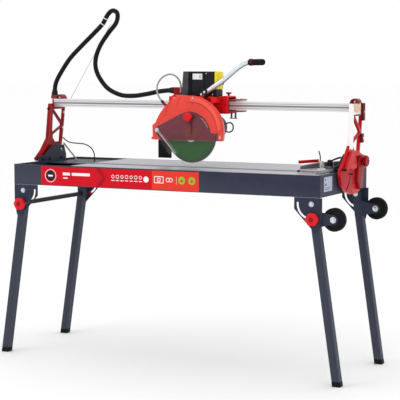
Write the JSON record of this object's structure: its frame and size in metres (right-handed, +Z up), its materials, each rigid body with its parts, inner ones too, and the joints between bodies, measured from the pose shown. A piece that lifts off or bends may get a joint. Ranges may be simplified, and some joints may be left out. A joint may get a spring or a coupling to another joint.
{
  "type": "wet tile saw",
  "caption": "Bridge-type wet tile saw on folding legs with wheels: tilting rail, sliding plunging head, water tray, fence and lifting lower blade guard.",
  "frame": {"origin": "on the floor, under the middle of the saw's overall length and width", "axes": "+X along the table towards the wheels, +Y towards the back, +Z up"},
  "size_m": [1.7219, 0.622, 1.6165],
  "materials": {
    "slate_paint": "satin dark blue-grey powder coat",
    "tray_black": "moulded black",
    "table_aluminium": "milled, light grey",
    "black_plastic": "moulded black",
    "black_rubber": "matt black",
    "red_plastic": "moulded red",
    "red_paint": "gloss red on cast metal",
    "guard_red": "gloss orange-red",
    "beam_aluminium": "anodised",
    "zinc_steel": "bright zinc and chrome plate",
    "blade_steel": "green painted blade disc",
    "smoked_lens": "smoked clear plastic",
    "motor_grey": "dark grey painted casting",
    "yellow_plastic": "moulded yellow",
    "fence_grey": "grey anodised",
    "clear_hose": "translucent hose",
    "cord_grey": "grey cord"
  },
  "bodies": {
    "frame": {"table_frame": "slate_paint", "water_tray": "tray_black", "table_plate_front": "table_aluminium", "table_plate_rear": "table_aluminium", "pump_cover": "slate_paint", "hinge_plate_left": "slate_paint", "hinge_plate_right": "slate_paint", "leg_bracket_left_front": "slate_paint", "leg_bracket_left_rear": "slate_paint", "leg_bracket_right_front": "slate_paint", "leg_bracket_right_rear": "slate_paint", "pump": "black_plastic", "pump_cord": "cord_grey", "pump_hose": "clear_hose", "fence_rail": "table_aluminium"},
    "fence_slide": {"fence_slide": "fence_grey"},
    "fence": {"fence_plate": "fence_grey"},
    "fence_lever": {"fence_lever": "black_plastic"},
    "left_legs": {"leg_left_front": "slate_paint", "leg_left_rear": "slate_paint", "leg_crossbar": "slate_paint", "foot_cap_left_front": "black_rubber", "foot_cap_left_rear": "black_rubber"},
    "right_front_leg": {"leg_right_front": "slate_paint", "foot_cap_right_front": "black_rubber"},
    "right_rear_leg": {"leg_right_rear": "slate_paint", "foot_cap_right_rear": "black_rubber"},
    "wheel_front": {"wheel_front": "black_rubber"},
    "wheel_rear": {"wheel_rear": "black_rubber"},
    "leg_knob_left_front": {"leg_knob_left_front": "red_plastic"},
    "leg_knob_left_rear": {"leg_knob_left_rear": "red_plastic"},
    "leg_knob_right_front": {"leg_knob_right_front": "red_plastic"},
    "leg_knob_right_rear": {"leg_knob_right_rear": "red_plastic"},
    "bridge": {"tower_left": "red_paint", "tower_right": "red_paint", "guide_beam": "beam_aluminium", "beam_cap_left": "red_paint", "beam_cap_right": "red_paint", "stay_rod": "zinc_steel", "conduit": "black_rubber"},
    "bevel_knob": {"bevel_knob": "red_plastic"},
    "carriage": {"carriage": "red_paint"},
    "roller_left": {"guide_roller_left": "zinc_steel"},
    "roller_right": {"guide_roller_right": "zinc_steel"},
    "carriage_lock_knob": {"carriage_lock_knob": "red_plastic"},
    "head": {"guard_shell": "guard_red", "motor_housing": "motor_grey", "switch_box": "black_plastic", "switch_plate": "yellow_plastic", "handle_tube": "zinc_steel", "handle_grip": "black_rubber", "guard_bolt": "zinc_steel", "mudflap": "black_rubber", "water_loop_hose": "clear_hose", "motor_cable": "black_rubber"},
    "stop_button": {"stop_button": "red_plastic"},
    "guard_knob": {"guard_knob": "red_plastic"},
    "spindle": {"blade": "blade_steel", "arbor": "zinc_steel"},
    "lower_guard": {"lower_guard": "smoked_lens"}
  },
  "joints": [
    {"name": "bevel_tilt", "type": "hinge", "parent": "frame", "child": "bridge", "pos_m": [-0.01086, -0.08, 0.905], "axis": [1, 0, 0], "range_deg": [0, 45], "deforming": ["pump_cord", "pump_hose"]},
    {"name": "carriage_slide", "type": "slide", "parent": "bridge", "child": "carriage", "axis": [1, 0, 0], "range_m": [-0.55, 0.42], "deforming": ["conduit"]},
    {"name": "roller_left_turn", "type": "hinge", "parent": "carriage", "child": "roller_left", "pos_m": [-0.10086, 0.0975, 1.1943], "axis": [0, 1, 0], "continuous": true},
    {"name": "roller_right_turn", "type": "hinge", "parent": "carriage", "child": "roller_right", "pos_m": [0.12914, 0.0975, 1.1943], "axis": [0, 1, 0], "continuous": true},
    {"name": "carriage_lock_turn", "type": "hinge", "parent": "carriage", "child": "carriage_lock_knob", "pos_m": [0.14914, 0.0975, 1.207], "axis": [0, 0, 1], "range_deg": [0, 360]},
    {"name": "head_plunge", "type": "hinge", "parent": "carriage", "child": "head", "pos_m": [-0.06086, 0, 1.196], "axis": [0, 1, 0], "range_deg": [0, 12], "stiffness_Nm_per_rad": 90, "springref_deg": -28.65},
    {"name": "blade_spin", "type": "hinge", "parent": "head", "child": "spindle", "pos_m": [0.04844, -0.08, 1.0377], "axis": [0, 1, 0], "continuous": true},
    {"name": "lower_guard_swing", "type": "hinge", "parent": "head", "child": "lower_guard", "pos_m": [-0.11536, -0.103, 1.0576], "axis": [0, -1, 0], "range_deg": [0, 25]},
    {"name": "stop_button_press", "type": "slide", "parent": "head", "child": "stop_button", "axis": [-1, 0, 0], "range_m": [0, 0.004], "stiffness_N_per_m": 800},
    {"name": "guard_knob_turn", "type": "hinge", "parent": "head", "child": "guard_knob", "pos_m": [0.04864, -0.11, 1.12], "axis": [0, 1, 0], "range_deg": [0, 360]},
    {"name": "bevel_knob_turn", "type": "hinge", "parent": "bridge", "child": "bevel_knob", "pos_m": [0.78914, 0.14, 0.93], "axis": [1, 0, 0], "range_deg": [0, 360]},
    {"name": "left_legs_fold", "type": "hinge", "parent": "frame", "child": "left_legs", "pos_m": [-0.72586, 0, 0.7722], "axis": [0, -1, 0], "range_deg": [0, 98]},
    {"name": "right_front_leg_fold", "type": "hinge", "parent": "frame", "child": "right_front_leg", "pos_m": [0.71614, -0.2605, 0.7722], "axis": [0, 1, 0], "range_deg": [0, 91]},
    {"name": "right_rear_leg_fold", "type": "hinge", "parent": "frame", "child": "right_rear_leg", "pos_m": [0.71614, 0.2605, 0.7722], "axis": [0, 1, 0], "range_deg": [0, 91]},
    {"name": "wheel_front_spin", "type": "hinge", "parent": "right_front_leg", "child": "wheel_front", "pos_m": [0.81114, -0.2545, 0.709], "axis": [0, 1, 0], "continuous": true},
    {"name": "wheel_rear_spin", "type": "hinge", "parent": "right_rear_leg", "child": "wheel_rear", "pos_m": [0.81114, 0.2545, 0.709], "axis": [0, 1, 0], "continuous": true},
    {"name": "leg_knob_left_front_turn", "type": "hinge", "parent": "left_legs", "child": "leg_knob_left_front", "pos_m": [-0.73528, -0.29, 0.70991], "axis": [0, 1, 0], "range_deg": [0, 360]},
    {"name": "leg_knob_left_rear_turn", "type": "hinge", "parent": "left_legs", "child": "leg_knob_left_rear", "pos_m": [-0.73528, 0.29, 0.70991], "axis": [0, 1, 0], "range_deg": [0, 360]},
    {"name": "leg_knob_right_front_turn", "type": "hinge", "parent": "right_front_leg", "child": "leg_knob_right_front", "pos_m": [0.72556, -0.29, 0.70991], "axis": [0, 1, 0], "range_deg": [0, 360]},
    {"name": "leg_knob_right_rear_turn", "type": "hinge", "parent": "right_rear_leg", "child": "leg_knob_right_rear", "pos_m": [0.72556, 0.29, 0.70991], "axis": [0, 1, 0], "range_deg": [0, 360]},
    {"name": "fence_travel", "type": "slide", "parent": "frame", "child": "fence_slide", "axis": [0, 1, 0], "range_m": [-0.06, 0.06]},
    {"name": "fence_swivel", "type": "hinge", "parent": "fence_slide", "child": "fence", "pos_m": [0.67914, 0.02, 0.9023], "axis": [0, 0, 1], "range_deg": [-10, 21]},
    {"name": "fence_lever_turn", "type": "hinge", "parent": "fence", "child": "fence_lever", "pos_m": [0.67914, 0.02, 0.9023], "axis": [0, 0, 1], "range_deg": [0, 90]}
  ],
  "couplings": [
    {"joint": "roller_left_turn", "follows": "carriage_slide", "rad_per_m": 125},
    {"joint": "roller_right_turn", "follows": "carriage_slide", "rad_per_m": 125}
  ]
}
